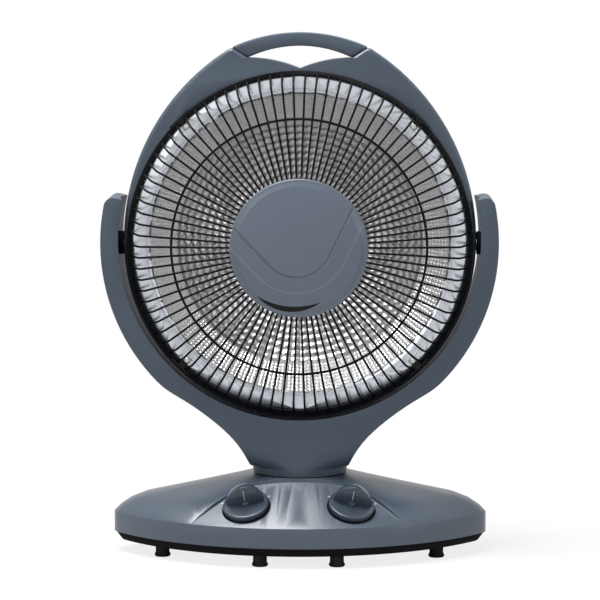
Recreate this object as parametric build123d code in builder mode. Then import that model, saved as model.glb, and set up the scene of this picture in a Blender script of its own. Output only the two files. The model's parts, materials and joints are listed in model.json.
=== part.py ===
from build123d import *
from math import acos, cos, pi, radians, sin, sqrt, tan
import os

os.makedirs("parts", exist_ok=True)

# Tabletop dish heater. It faces -Y, +Z is up, and the origin is on the table under its centre.
# All sizes are in millimetres and all angles in degrees.

# Base
base_length = 337.0
base_depth = 196.0
base_tip_radius = 24.0
foot_height = 10.0
foot_radius = 6.2
foot_flare = 1.2
plate_height = 8.0
plate_taper = 6.0
plate_lip = 1.0
plate_floor = 2.5
cover_wall = 2.6
wall_height = 18.0
# How far the crown has risen above the edge, and drawn in along X and along Y
crown_levels = ((6.0, 6.0, 7.5), (12.0, 15.0, 16.5), (17.0, 28.0, 24.5))
deck_rise = 36.0
neck_radius = 43.0
deck_margin = 2.5
panel_slope = 0.58
panel_top_half = 52.0
panel_top_y = -42.0
panel_foot_half = 98.0
panel_foot_y = -76.0

# Neck joint and swing drive
neck_gap = 1.4
neck_floor = 4.0
spindle_radius = 14.0
spindle_bore = 9.0
spindle_flange = 4.0
spindle_flange_radius = 21.0
bush_wall = 2.0
running_clearance = 0.06
body_clearance = 0.4
glide_inner = 26.0
glide_outer = 37.0
gear_module = 2.0
neck_gear_teeth = 36
pinion_teeth = 12
gear_thickness = 6.0
gear_drop = 4.0
gear_backlash = 0.16
retainer_thickness = 4.0
retainer_radius = 19.0
motor_radius = 24.0
motor_height = 20.0
motor_shaft_radius = 3.0

# Yoke
pivot_height = 280.0
yoke_outer_radius = 177.4
yoke_sphere_radius = 165.0
yoke_sphere_rise = 4.4
yoke_circle_rise = 1.5
yoke_half_depth = 34.0
yoke_wall = 2.5
arm_rise = 44.0
arm_top_drop = 6.0
arm_corner_round = 8.0
flare_start_angle = 46.0
yoke_screw_radius = 1.5
yoke_screw_head = 2.9
yoke_boss_radius = 3.2

# Tilt pivots
tilt_pin_radius = 4.0
tilt_boss_radius = 9.0
tilt_washer_radius = 10.5
tilt_bush_wall = 2.0
tilt_pin_reach = 14.0

# Head
head_radius = 158.0
head_front_y = -11.0
parting_y = 20.0
head_back_y = 72.0
head_wall = 2.5
head_edge_round = 3.0
shoulder_x = 61.2
shoulder_z = 175.3
flank_start = -4.0
gap_half_width = 46.6
gap_corner_z = 166.0
gap_sill_z = 156.5
gap_sill_radius = (gap_half_width**2 + (gap_corner_z - gap_sill_z) ** 2) / (2 * (gap_corner_z - gap_sill_z))
handle_top_z = 188.6
handle_bar = 12.0
handle_front_y = -7.0
handle_back_y = 17.0
dish_opening = 143.0

# Reflector and guard
flange_outer = 152.0
flange_inner = 137.0
sheet = 1.0
dish_depth = 55.0
dish_throat = 18.0
ring_inner = 150.3
ring_outer = 155.0
ring_depth = 4.2
wire_count = 90
wire_radius = 0.95
bend_radius_at = 142.5
bend_forward = 36.0
bend_round = 6.0
hub_forward = 45.0
wire_inner_end = 50.0
middle_ring_at = 113.3
middle_ring_wire = 1.1
cap_radius = 61.3
cap_rim = 4.2
cap_crown = 4.0
cap_wall = 2.0
hub_plate_radius = 55.0

# Heating element
core_radius = 12.0
core_front = 34.0
core_flange_radius = 17.0
coil_turns = 16
coil_pitch = 3.4
coil_wire = 0.8
coil_gap = -0.05
socket_radius = 15.0
shield_gap = 11.0
shield_outer = 112.0

# Controls
knob_spacing = 93.0
knob_y = -68.0
knob_radius = 20.5
knob_skirt = 4.5
knob_dome = 17.0
knob_lift = 1.2
knob_shaft_radius = 3.0
knob_shaft_clearance = 0.5
heat_switch_radius = 15.0
heat_switch_depth = 16.0
timer_radius = 18.0
timer_depth = 20.0

# Fasteners, posts and small parts
post_radius = 4.5
plate_wall = 2.0
base_screw_radius = 1.8
base_screw_head = 3.4
base_screw_head_height = 1.6
base_screw_length = 14.0
inlet_radius = 6.0
inlet_bore = 3.6
inlet_length = 14.0
terminal_x = 40.0
terminal_y = 66.0
ballast_width = 118.0
ballast_depth = 40.0
ballast_thickness = 6.0
ballast_y = -56.0
tip_switch_y = 62.0
plunger_radius = 3.0
plunger_clearance = 0.25
plunger_foot_radius = 5.0
running_gap = 0.3
clip_screw_radius = 1.6
clip_screw_head = 2.6
clip_arm = 22.0
clip_stem = 7.0
clip_turns = (46.0, 134.0, 226.0, 314.0)
rear_screw_polar = ((156.5, 25.0), (156.5, 155.0), (152.3, 205.0), (152.3, 335.0))
hub_screw_radius = 1.2
hub_screw_length = 4.0
weld_depth = 0.15
terminal_length = 36.0
terminal_width = 16.0
terminal_height = 12.0
terminal_pitch = 10.0
terminal_hole_radius = 3.0
terminal_hole_depth = 5.0
inlet_recess = 0.6
inlet_collar = 1.0
bush_length = 4.6
bush_lip = 3.0
pressure_angle = 20.0
gear_addendum = 0.72
root_flare = 0.02
flank_points = 5
motor_shaft_depth = 8.0
motor_boss_radius = 6.0
motor_boss_height = 2.0
spindle_end = 1.0
tip_switch_length = 20.0
tip_switch_width = 12.0
tip_switch_height = 18.0
tip_switch_lift = 4.0
plunger_reach = 12.0
plunger_foot_height = 4.0
knob_shaft_depth = 10.0
# Where the yoke flares out of its neck, with the share of the wall that moves each place inward
flare_points = ((56.0, 102.6, 1.0), (79.0, 124.2, 0.5), (105.0, 142.0, 0.45))
neck_taper_height = 62.0
neck_round_height = 6.0
neck_screw_x = 26.0
neck_screw_z = 98.0
yoke_screw_turns = (50.0, 78.0)
screw_head_height = 2.0
# How the rear cover draws in: the share of its depth, and the share of its size left there
rear_levels = ((0.0, 1.0), (0.34, 0.965), (0.66, 0.86), (0.88, 0.7), (1.0, 0.55))
# Rings of vent slots: the radius, the number of slots and their length
vent_rings = ((62.0, 20, 26.0), (106.0, 36, 34.0))
vent_width = 4.0
vent_depth = 30.0
rear_boss_length = 9.0
housing_boss_length = 12.0
cutout_radius = 7.0
cutout_height = 5.0
cutout_strap = 24.0
terminal_back = 14.0
tab_width = 6.3
tab_length = 9.0
tab_thickness = 0.8
cap_rim_width = 6.0
cap_post_radius = 3.5
hub_screw_reach = 22.0
cutout_x = 36.0
rear_screw_seat = 4.0
head_boss_radius = 4.2
shoulder_round = 6.0
yoke_screw_front = 22.0
yoke_screw_seat = 24.0

# Levels and places that follow from the sizes above
plate_z = foot_height
cover_z = plate_z + plate_height
edge_z = cover_z + wall_height
deck_z = edge_z + deck_rise
neck_z = deck_z + neck_gap
plate_top_face = plate_z + plate_floor
half_length = base_length / 2
half_depth = base_depth / 2
deck_radius = neck_radius + deck_margin
inlet_z = cover_z + inlet_radius + inlet_collar
motor_z = 30.0
gear_z = deck_z - cover_wall - gear_drop - gear_thickness
pinion_distance = gear_module * (neck_gear_teeth + pinion_teeth) / 2
yoke_sphere_z = pivot_height + yoke_sphere_rise
yoke_circle_z = pivot_height + yoke_circle_rise

pivot = Vector(0, 0, pivot_height)
# Facing forward out of the dish: local X is +X, local Y is up, local Z is forward.
dish_front = Plane(origin=pivot, x_dir=(1, 0, 0), z_dir=(0, -1, 0))
# Holds the profiles that turn about the dish's axis: local X is the radius, local Y runs backward.
dish_section = Plane(origin=pivot, x_dir=(1, 0, 0), z_dir=(0, 0, 1))
dish_axis = Axis(pivot, (0, 1, 0))


def facing(y):
    """The forward-facing plane through the dish's axis at the depth y."""
    return dish_front.offset(-y)


def lens_radius(half_x, half_y, tip):
    """Radius of the two long arcs of a lens with rounded tips."""
    return ((half_x - tip) ** 2 + half_y**2 - tip**2) / (2 * (half_y - tip))


def lens_outline(half_x, half_y, tip):
    """Closed line of two long arcs joined by two tip arcs, centred on the origin."""
    long_radius = lens_radius(half_x, half_y, tip)
    centre_y = long_radius - half_y
    tip_x = half_x - tip
    reach = sqrt(tip_x**2 + centre_y**2)
    join_x = tip_x / reach * long_radius
    join_y = centre_y - centre_y / reach * long_radius
    with BuildLine() as outline:
        ThreePointArc((-join_x, join_y), (0, -half_y), (join_x, join_y))
        ThreePointArc((join_x, join_y), (half_x, 0), (join_x, -join_y))
        ThreePointArc((join_x, -join_y), (0, half_y), (-join_x, -join_y))
        ThreePointArc((-join_x, -join_y), (-half_x, 0), (-join_x, join_y))
    return outline.line


def save(piece, name):
    """Labels a finished piece and writes it."""
    piece.label = name
    export_step(piece, f"parts/{name}.step")


# Base cover, one moulding: wall, crowned top, flat deck under the neck and a control panel in front
def base_shell(inset, drop, panel_cut):
    """The base's closed outer form, or its cavity when it is inset and dropped."""
    with BuildPart() as form:
        with BuildSketch(Plane.XY.offset(cover_z)):
            add(lens_outline(half_length - inset, half_depth - inset, base_tip_radius - inset))
            make_face()
        extrude(amount=wall_height - drop)
        with BuildSketch(Plane.XY.offset(edge_z - drop)):
            add(lens_outline(half_length - inset, half_depth - inset, base_tip_radius - inset))
            make_face()
        for rise, in_x, in_y in crown_levels:
            with BuildSketch(Plane.XY.offset(edge_z + rise - drop)):
                add(lens_outline(half_length - in_x - inset, half_depth - in_y - inset, base_tip_radius - inset))
                make_face()
        with BuildSketch(Plane.XY.offset(deck_z - drop)):
            add(lens_outline(deck_radius, deck_radius - 0.5, deck_radius - 2))
            make_face()
        loft(ruled=True)
        add(panel_cut, mode=Mode.SUBTRACT)
    return form.part


def panel_cutter(drop, grow):
    """What the control panel cuts away: a cone that keeps to the front edge, between two creases."""
    long_radius = lens_radius(half_length, half_depth, base_tip_radius)
    centre_y = long_radius - half_depth
    cone_section = Plane(origin=(0, centre_y, 0), x_dir=(0, -1, 0), z_dir=(-1, 0, 0))
    near = long_radius + 8
    far = long_radius - (half_depth + panel_top_y) - 2
    low = edge_z - drop - 8 * panel_slope
    high = edge_z - drop + (long_radius - far) * panel_slope
    with BuildPart() as cutter:
        with BuildSketch(cone_section):
            with BuildLine():
                Polyline((near, low), (far, high), (far, high + 30), (near, high + 30), close=True)
            make_face()
        revolve(axis=Axis((0, centre_y, 0), (0, 0, 1)), revolution_arc=360)
        with BuildSketch(Plane.XY.offset(cover_z)):
            with BuildLine():
                foot_x = panel_foot_half + grow
                slant = (foot_x - panel_top_half - grow) / (panel_top_y - panel_foot_y)
                out_x = foot_x + slant * 45
                Polyline(
                    (-panel_top_half - grow, panel_top_y + grow),
                    (-out_x, panel_foot_y - 45),
                    (out_x, panel_foot_y - 45),
                    (panel_top_half + grow, panel_top_y + grow),
                    close=True,
                )
            make_face()
        extrude(amount=deck_z, mode=Mode.INTERSECT)
    return cutter.part


def knob_plane(x):
    """Plane on the control panel at a knob's centre, square to the panel, with local X to the right."""
    centre_y = lens_radius(half_length, half_depth, base_tip_radius) - half_depth
    reach = sqrt(x**2 + (centre_y - knob_y) ** 2)
    height = edge_z + (centre_y + half_depth - reach) * panel_slope
    lean = Vector(panel_slope * x / reach, panel_slope * (knob_y - centre_y) / reach, 1)
    return Plane(origin=(x, knob_y, height), x_dir=(1, 0, -lean.X), z_dir=lean)


knob_planes = {"heat": knob_plane(-knob_spacing / 2), "timer": knob_plane(knob_spacing / 2)}
cover_outer = base_shell(0, 0, panel_cutter(0, 0))
cover_cavity = base_shell(cover_wall, cover_wall, panel_cutter(cover_wall, cover_wall))
post_places = ((-118, 0), (118, 0), (-66, 46), (66, 46), (-88, -38), (88, -38))
bush_radius = spindle_radius + running_clearance + bush_wall

with BuildPart() as cover_posts:
    with BuildSketch(Plane.XY.offset(plate_top_face)):
        with Locations(*post_places):
            Circle(post_radius)
    extrude(amount=deck_z)
    add(cover_outer, mode=Mode.INTERSECT)
    with BuildSketch(Plane.XY.offset(plate_top_face)):
        with Locations(*post_places):
            Circle(post_radius)
    extrude(amount=cover_z + 1 - plate_top_face)

with BuildPart() as base_cover:
    add(cover_outer)
    add(cover_cavity, mode=Mode.SUBTRACT)
    add(cover_posts.part)
    with BuildSketch(Plane.XY.offset(plate_top_face)):
        with Locations(*post_places):
            Circle(base_screw_radius)
    extrude(amount=base_screw_length - plate_floor, mode=Mode.SUBTRACT)
    with BuildSketch(Plane.XY.offset(deck_z)):
        Circle(bush_radius)
    extrude(amount=-2 * cover_wall, mode=Mode.SUBTRACT)
    for plane in knob_planes.values():
        with BuildSketch(plane.offset(cover_wall)):
            Circle(knob_shaft_radius + knob_shaft_clearance)
        extrude(amount=-3 * cover_wall, mode=Mode.SUBTRACT)
    with BuildSketch(Plane(origin=(0, half_depth, inlet_z), x_dir=(1, 0, 0), z_dir=(0, 1, 0))):
        Circle(inlet_radius)
    extrude(amount=-2 * cover_wall, mode=Mode.SUBTRACT)
save(base_cover.part, "base_cover")

# Base plate, a black tapered tray under the cover, with posts that carry the motor and holes for the screws
with BuildPart() as base_plate:
    with BuildSketch(Plane.XY.offset(plate_z)):
        inset = plate_lip + plate_taper
        add(lens_outline(half_length - inset, half_depth - inset, base_tip_radius - inset))
        make_face()
    with BuildSketch(Plane.XY.offset(cover_z)):
        add(lens_outline(half_length - plate_lip, half_depth - plate_lip, base_tip_radius - plate_lip))
        make_face()
    loft(ruled=True)
    with BuildSketch(Plane.XY.offset(plate_top_face)):
        inset = plate_lip + plate_taper + plate_wall
        add(lens_outline(half_length - inset, half_depth - inset, base_tip_radius - inset))
        make_face()
    extrude(amount=plate_height, mode=Mode.SUBTRACT)
    with BuildSketch(Plane.XY.offset(plate_top_face)):
        with Locations((-pinion_distance, 0)):
            with PolarLocations(motor_radius - post_radius, 3):
                Circle(post_radius - 0.5)
    extrude(amount=motor_z - plate_top_face)
    with BuildSketch(Plane.XY.offset(plate_z)):
        with Locations(*post_places):
            Circle(base_screw_radius)
        with Locations((0, tip_switch_y)):
            Circle(plunger_radius + plunger_clearance)
    extrude(amount=plate_height, mode=Mode.SUBTRACT)
    with BuildSketch(Plane.XY.offset(plate_z)):
        with Locations(*post_places):
            Circle(base_screw_head)
    extrude(amount=base_screw_head_height, mode=Mode.SUBTRACT)
save(base_plate.part, "base_plate")

# Screws that hold the plate to the cover's posts
with BuildPart() as base_screws:
    with BuildSketch(Plane.XY.offset(plate_z)):
        with Locations(*post_places):
            Circle(base_screw_head)
    extrude(amount=base_screw_head_height)
    with BuildSketch(Plane.XY.offset(plate_z)):
        with Locations(*post_places):
            Circle(base_screw_radius)
    extrude(amount=base_screw_length)
save(base_screws.part, "base_screws")

# Rubber feet, each flared where it meets the table
foot_places = [(sx * x, sy * y) for x, y in ((34, 80), (123, 33)) for sx in (-1, 1) for sy in (-1, 1)]
with BuildPart() as one_foot:
    with BuildSketch(Plane.XZ):
        with BuildLine():
            Polyline(
                (0, 0),
                (foot_radius + foot_flare - 1, 0),
                (foot_radius + foot_flare, 1.5),
                (foot_radius, 4),
                (foot_radius, foot_height),
                (0, foot_height),
                close=True,
            )
        make_face()
    revolve(axis=Axis.Z)
with BuildPart() as rubber_feet:
    with Locations(*foot_places):
        add(one_foot.part)
save(rubber_feet.part, "rubber_feet")

# Steel ballast plate on the floor of the base, with windows for the posts and the tip-over switch
with BuildPart() as ballast_plate:
    with BuildSketch(Plane.XY.offset(plate_top_face)):
        with Locations((0, ballast_y)):
            Rectangle(ballast_width, ballast_depth)
        with Locations(*post_places):
            Circle(post_radius + 1, mode=Mode.SUBTRACT)
    extrude(amount=ballast_thickness)
save(ballast_plate.part, "ballast_plate")

# Cord inlet in the rear wall: a flanged sleeve with an open bore
inlet_plane = Plane(origin=(0, half_depth, inlet_z), x_dir=(1, 0, 0), z_dir=(0, 1, 0))
with BuildPart() as cord_inlet:
    with BuildSketch(inlet_plane.offset(-inlet_recess)):
        Circle(inlet_radius)
    extrude(amount=-inlet_length)
    with BuildSketch(inlet_plane.offset(-cover_wall - running_gap)):
        Circle(inlet_radius + inlet_collar)
    extrude(amount=-2 * inlet_collar)
    with BuildSketch(inlet_plane):
        Circle(inlet_bore)
    extrude(amount=-inlet_length - 1, mode=Mode.SUBTRACT)
save(cord_inlet.part, "cord_inlet")

# Terminal block beside the inlet
with BuildPart() as terminal_block:
    with BuildSketch(Plane.XY.offset(plate_top_face)):
        with Locations((terminal_x, terminal_y)):
            Rectangle(terminal_length, terminal_width)
    extrude(amount=terminal_height)
    with BuildSketch(Plane.XY.offset(plate_top_face + terminal_height)):
        with Locations((terminal_x, terminal_y)):
            with GridLocations(terminal_pitch, 0, 3, 1):
                Circle(terminal_hole_radius)
    extrude(amount=-terminal_hole_depth, mode=Mode.SUBTRACT)
save(terminal_block.part, "terminal_block")

# Neck bush and glide ring, which carry the yoke on the deck
with BuildPart() as neck_bush:
    with BuildSketch(Plane.XY.offset(deck_z - bush_length)):
        Circle(bush_radius)
    extrude(amount=bush_length)
    with BuildSketch(Plane.XY.offset(deck_z)):
        Circle(bush_radius + bush_lip)
    extrude(amount=neck_gap - running_gap)
    with BuildSketch(Plane.XY.offset(deck_z - bush_length)):
        Circle(spindle_radius + running_clearance)
    extrude(amount=bush_length + neck_gap, mode=Mode.SUBTRACT)
save(neck_bush.part, "neck_bush")

with BuildPart() as glide_ring:
    with BuildSketch(Plane.XY.offset(deck_z)):
        Circle(glide_outer)
        Circle(glide_inner, mode=Mode.SUBTRACT)
    extrude(amount=neck_gap - running_gap)
save(glide_ring.part, "glide_ring")


# Swing drive: a synchronous motor turns a pinion that drives the gear on the neck spindle
def gear_outline(teeth, start):
    """Closed outline of a stub-tooth involute gear, with the middle of one tooth at the angle start."""
    pitch_r = gear_module * teeth / 2
    base_r = pitch_r * cos(radians(pressure_angle))
    tip_r = pitch_r + gear_addendum * gear_module
    root_r = pitch_r - gear_module
    involute = tan(radians(pressure_angle)) - radians(pressure_angle)
    half_tooth = pi / (2 * teeth) - gear_backlash / (2 * pitch_r)
    points = []
    for tooth in range(teeth):
        middle = radians(start) + 2 * pi * tooth / teeth
        flank = [(root_r, half_tooth + involute + root_flare)]
        for step in range(flank_points):
            share = step / (flank_points - 1)
            radius = max(base_r, root_r) + (tip_r - max(base_r, root_r)) * share
            roll = acos(base_r / radius)
            flank.append((radius, half_tooth + involute - (tan(roll) - roll)))
        for radius, turn in flank:
            points.append((radius * cos(middle - turn), radius * sin(middle - turn)))
        for radius, turn in reversed(flank):
            points.append((radius * cos(middle + turn), radius * sin(middle + turn)))
    return Polyline(*points, close=True)


with BuildPart() as neck_gear:
    with BuildSketch(Plane.XY.offset(gear_z)):
        with BuildLine():
            gear_outline(neck_gear_teeth, 0)
        make_face()
        Circle(spindle_radius, mode=Mode.SUBTRACT)
    extrude(amount=gear_thickness)
save(neck_gear.part, "neck_gear")

with BuildPart() as motor_pinion:
    with BuildSketch(Plane.XY.offset(gear_z)):
        with BuildLine():
            gear_outline(pinion_teeth, 180 / pinion_teeth)
        make_face()
        Circle(motor_shaft_radius, mode=Mode.SUBTRACT)
    extrude(amount=gear_thickness)
motor_pinion_part = motor_pinion.part.moved(Location((-pinion_distance, 0, 0)))
save(motor_pinion_part, "motor_pinion")

with BuildPart() as motor_shaft:
    with BuildSketch(Plane.XY.offset(motor_z + motor_height - motor_shaft_depth)):
        with Locations((-pinion_distance, 0)):
            Circle(motor_shaft_radius)
    extrude(amount=gear_z + gear_thickness - motor_z - motor_height + motor_shaft_depth)
save(motor_shaft.part, "motor_shaft")

with BuildPart() as swing_motor:
    with BuildSketch(Plane.XY.offset(motor_z)):
        with Locations((-pinion_distance, 0)):
            Circle(motor_radius)
    extrude(amount=motor_height)
    with BuildSketch(Plane.XY.offset(motor_z + motor_height)):
        with Locations((-pinion_distance, 0)):
            Circle(motor_boss_radius)
    extrude(amount=motor_boss_height)
    with BuildSketch(Plane.XY.offset(motor_z + motor_height + motor_boss_height)):
        with Locations((-pinion_distance, 0)):
            Circle(motor_shaft_radius + running_clearance)
    extrude(amount=-motor_boss_height - motor_shaft_depth - body_clearance, mode=Mode.SUBTRACT)
save(swing_motor.part, "swing_motor")

# Neck spindle: a tube with a flange inside the yoke, which passes down through the deck
spindle_foot = gear_z - retainer_thickness - spindle_end
with BuildPart() as neck_spindle:
    with BuildSketch(Plane.XY.offset(spindle_foot)):
        Circle(spindle_radius)
    extrude(amount=neck_z + neck_floor + spindle_flange - spindle_foot)
    with BuildSketch(Plane.XY.offset(neck_z + neck_floor)):
        Circle(spindle_flange_radius)
    extrude(amount=spindle_flange)
    with BuildSketch(Plane.XY.offset(spindle_foot)):
        Circle(spindle_bore)
    extrude(amount=deck_z, mode=Mode.SUBTRACT)
save(neck_spindle.part, "neck_spindle")

with BuildPart() as spindle_retainer:
    with BuildSketch(Plane.XY.offset(gear_z - retainer_thickness)):
        RegularPolygon(retainer_radius, 6)
        Circle(spindle_radius, mode=Mode.SUBTRACT)
    extrude(amount=retainer_thickness)
save(spindle_retainer.part, "spindle_retainer")

# Tip-over switch on the floor, and the plunger that the table holds up
with BuildPart() as tip_switch:
    with BuildSketch(Plane.XY.offset(plate_top_face)):
        with Locations((0, tip_switch_y)):
            Rectangle(tip_switch_length, tip_switch_width)
    extrude(amount=tip_switch_height)
    with BuildSketch(Plane.XY.offset(plate_top_face)):
        with Locations((0, tip_switch_y)):
            Rectangle(tip_switch_length / 2, tip_switch_width)
    extrude(amount=tip_switch_lift, mode=Mode.SUBTRACT)
    with BuildSketch(Plane.XY.offset(plate_top_face)):
        with Locations((0, tip_switch_y)):
            Circle(plunger_radius + plunger_clearance)
    extrude(amount=plunger_reach + body_clearance, mode=Mode.SUBTRACT)
save(tip_switch.part, "tip_switch")

with BuildPart() as tip_plunger:
    with BuildSketch(Plane.XY):
        with Locations((0, tip_switch_y)):
            Circle(plunger_radius)
    extrude(amount=plate_top_face + plunger_reach)
    with BuildSketch(Plane.XY):
        with Locations((0, tip_switch_y)):
            Circle(plunger_foot_radius)
    extrude(amount=plunger_foot_height)
save(tip_plunger.part, "tip_plunger")


# Each control: a body under the panel, a shaft, a black well around it and a knob
def control(name, depth, radius):
    """Makes the body, shaft and knob of one control, all square to the panel."""
    plane = knob_planes[name]
    with BuildPart() as body:
        with BuildSketch(plane.offset(-cover_wall / 2)):
            Circle(radius)
        extrude(amount=-depth)
        with BuildSketch(plane):
            Circle(knob_shaft_radius + running_clearance)
        extrude(amount=-cover_wall - knob_shaft_depth - body_clearance, mode=Mode.SUBTRACT)
        add(cover_cavity, mode=Mode.INTERSECT)
    save(body.part, f"{name}_switch_body" if name == "heat" else "timer_body")
    with BuildPart() as shaft:
        with BuildSketch(plane.offset(-cover_wall - knob_shaft_depth)):
            Circle(knob_shaft_radius)
        extrude(amount=cover_wall + knob_shaft_depth + knob_lift + knob_skirt)
    save(shaft.part, f"{name}_shaft")
    dome_start = knob_lift + knob_skirt
    with BuildPart() as knob:
        with BuildSketch(Plane(origin=plane.origin, x_dir=plane.x_dir, z_dir=-plane.y_dir)):
            with BuildLine():
                Line((0, knob_lift), (knob_radius, knob_lift))
                Line((knob_radius, knob_lift), (knob_radius, dome_start - 1.5))
                ThreePointArc(
                    (knob_radius, dome_start - 1.5),
                    (knob_radius - 0.5, dome_start - 0.4),
                    (knob_radius - 1.6, dome_start),
                )
                Line((knob_radius - 1.6, dome_start), (0, dome_start))
                Line((0, dome_start), (0, knob_lift))
            make_face()
        revolve(axis=Axis(plane.origin, plane.z_dir))
        with BuildSketch(Plane(origin=plane.origin, x_dir=plane.x_dir, z_dir=-plane.y_dir)):
            with BuildLine():
                Line((0, dome_start), (knob_dome, dome_start))
                ThreePointArc(
                    (knob_dome, dome_start),
                    (knob_dome * cos(pi / 4), dome_start + knob_dome * sin(pi / 4)),
                    (0, dome_start + knob_dome),
                )
                Line((0, dome_start + knob_dome), (0, dome_start))
            make_face()
        revolve(axis=Axis(plane.origin, plane.z_dir))
        with BuildSketch(Plane(origin=plane.origin, x_dir=plane.x_dir, z_dir=-plane.y_dir)):
            with BuildLine():
                Polyline(
                    (-knob_radius, dome_start),
                    (-knob_radius, dome_start + 2 * knob_dome),
                    (knob_radius, dome_start + 2 * knob_dome),
                    (knob_radius, dome_start),
                    close=True,
                )
            make_face()
        extrude(amount=2 * knob_radius, mode=Mode.SUBTRACT)
        with BuildSketch(plane):
            Circle(knob_shaft_radius)
        extrude(amount=dome_start, mode=Mode.SUBTRACT)
    save(knob.part, f"{name}_knob")
    with BuildPart() as well:
        with BuildSketch(plane.offset(-1.5)):
            Circle(knob_radius + 1.2)
            Circle(knob_radius - 3, mode=Mode.SUBTRACT)
        extrude(amount=knob_lift - running_gap + 1.5)
        add(cover_outer, mode=Mode.SUBTRACT)
    return well.part


wells = [control("heat", heat_switch_depth, heat_switch_radius), control("timer", timer_depth, timer_radius)]
with BuildPart() as knob_wells:
    add(wells)
save(knob_wells.part, "knob_wells")


# Yoke: a U in two shells, its inside a sphere about the head, its neck turning round at the bottom
def yoke_form(inset):
    """The yoke's closed outer form, or its cavity when it is inset by the wall."""
    outer = yoke_outer_radius - inset
    flare_x = outer * sin(radians(flare_start_angle))
    flare_z = yoke_circle_z - outer * cos(radians(flare_start_angle))
    tip_z = pivot_height + arm_rise - inset
    tip_x = sqrt(outer**2 - (tip_z - yoke_circle_z) ** 2)
    inner_x = tip_x - 2 * (yoke_outer_radius - yoke_sphere_radius)
    foot_z = neck_z + (neck_floor if inset else 0)
    with BuildPart() as form:
        with BuildSketch(Plane.XZ):
            with BuildLine():
                Line((0, foot_z), (neck_radius - 1.5 - inset, foot_z))
                Spline(
                    (neck_radius - 1.5 - inset, foot_z),
                    *[(x - inset * lean, z + inset * (1 - lean)) for x, z, lean in flare_points],
                    (flare_x, flare_z),
                    tangents=((0.25, 1), (cos(radians(flare_start_angle)), sin(radians(flare_start_angle)))),
                )
                ThreePointArc((flare_x, flare_z), (outer, yoke_circle_z), (tip_x, tip_z))
                Line((tip_x, tip_z), (inner_x, tip_z - arm_top_drop))
                Line((inner_x, tip_z - arm_top_drop), (0, tip_z - arm_top_drop))
                Line((0, tip_z - arm_top_drop), (0, foot_z))
            make_face()
            mirror(about=Plane.YZ)
            tips = vertices().group_by(Axis.Y)[-1]
            fillet(tips, arm_corner_round - inset)
        extrude(amount=neck_radius + 3, both=True)
        with BuildPart(mode=Mode.PRIVATE) as envelope:
            half = neck_radius - inset
            for level in (foot_z, foot_z + neck_round_height):
                with BuildSketch(Plane.XY.offset(level)):
                    add(lens_outline(half, half - 0.4, half - 1))
                    make_face()
            wide = 2 * yoke_outer_radius
            for level in (neck_z + neck_taper_height, pivot_height + 2 * arm_rise):
                with BuildSketch(Plane.XY.offset(level)):
                    add(lens_outline(wide, yoke_half_depth - inset, yoke_half_depth - inset - 1))
                    make_face()
            loft(ruled=True)
        add(envelope.part, mode=Mode.INTERSECT)
        with Locations((0, 0, yoke_sphere_z)):
            Sphere(yoke_sphere_radius + inset, mode=Mode.SUBTRACT)
    return form.part


yoke_outer = yoke_form(0)
yoke_cavity = yoke_form(yoke_wall)
pin_plane = Plane(origin=pivot, x_dir=(0, 1, 0), z_dir=(1, 0, 0))
arm_out_x = sqrt(yoke_outer_radius**2 - (pivot_height - yoke_circle_z) ** 2)
arm_in_x = sqrt(yoke_sphere_radius**2 - yoke_sphere_rise**2)
screw_reach = (yoke_outer_radius + yoke_sphere_radius + yoke_wall) / 2 - 0.8
yoke_screw_places = [
    (side * screw_reach * sin(radians(turn)), yoke_circle_z - screw_reach * cos(radians(turn)))
    for turn in yoke_screw_turns
    for side in (-1, 1)
] + [(-neck_screw_x, neck_screw_z), (neck_screw_x, neck_screw_z)]

with BuildPart() as yoke_body:
    add(yoke_outer)
    add(yoke_cavity, mode=Mode.SUBTRACT)
    with BuildPart(mode=Mode.PRIVATE) as bosses:
        with BuildSketch(pin_plane):
            Circle(tilt_boss_radius)
        extrude(amount=yoke_outer_radius + 5, both=True)
        with BuildSketch(Plane.XZ):
            with Locations(*yoke_screw_places):
                Circle(yoke_boss_radius)
        extrude(amount=yoke_half_depth + 12, both=True)
        add(yoke_outer, mode=Mode.INTERSECT)
    add(bosses.part)
    with BuildSketch(pin_plane):
        Circle(tilt_pin_radius)
    extrude(amount=arm_out_x - yoke_wall, both=True, mode=Mode.SUBTRACT)
    with BuildSketch(Plane.XY.offset(neck_z)):
        Circle(spindle_radius)
    extrude(amount=neck_floor, mode=Mode.SUBTRACT)
    with BuildSketch(Plane.XZ):
        with Locations(*yoke_screw_places):
            Circle(yoke_screw_radius)
    extrude(amount=yoke_screw_front, mode=Mode.SUBTRACT)
    with BuildSketch(Plane.XZ):
        with Locations(*yoke_screw_places):
            Circle(yoke_screw_radius)
    extrude(amount=-yoke_half_depth - 12, mode=Mode.SUBTRACT)
    with BuildSketch(Plane.XZ.offset(-yoke_screw_seat)):
        with Locations(*yoke_screw_places):
            Circle(yoke_screw_head)
    extrude(amount=-yoke_half_depth, mode=Mode.SUBTRACT)

with BuildPart() as yoke_front_shell:
    add(yoke_body.part)
    split(bisect_by=Plane.XZ, keep=Keep.TOP)
save(yoke_front_shell.part, "yoke_front_shell")
with BuildPart() as yoke_rear_shell:
    add(yoke_body.part)
    split(bisect_by=Plane.XZ, keep=Keep.BOTTOM)
save(yoke_rear_shell.part, "yoke_rear_shell")

with BuildPart() as yoke_screws:
    with BuildSketch(Plane.XZ.offset(yoke_screw_front)):
        with Locations(*yoke_screw_places):
            Circle(yoke_screw_radius)
    extrude(amount=-yoke_screw_front - yoke_screw_seat - screw_head_height)
    with BuildSketch(Plane.XZ.offset(-yoke_screw_seat)):
        with Locations(*yoke_screw_places):
            Circle(yoke_screw_head)
    extrude(amount=-2)
save(yoke_screws.part, "yoke_screws")

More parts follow.
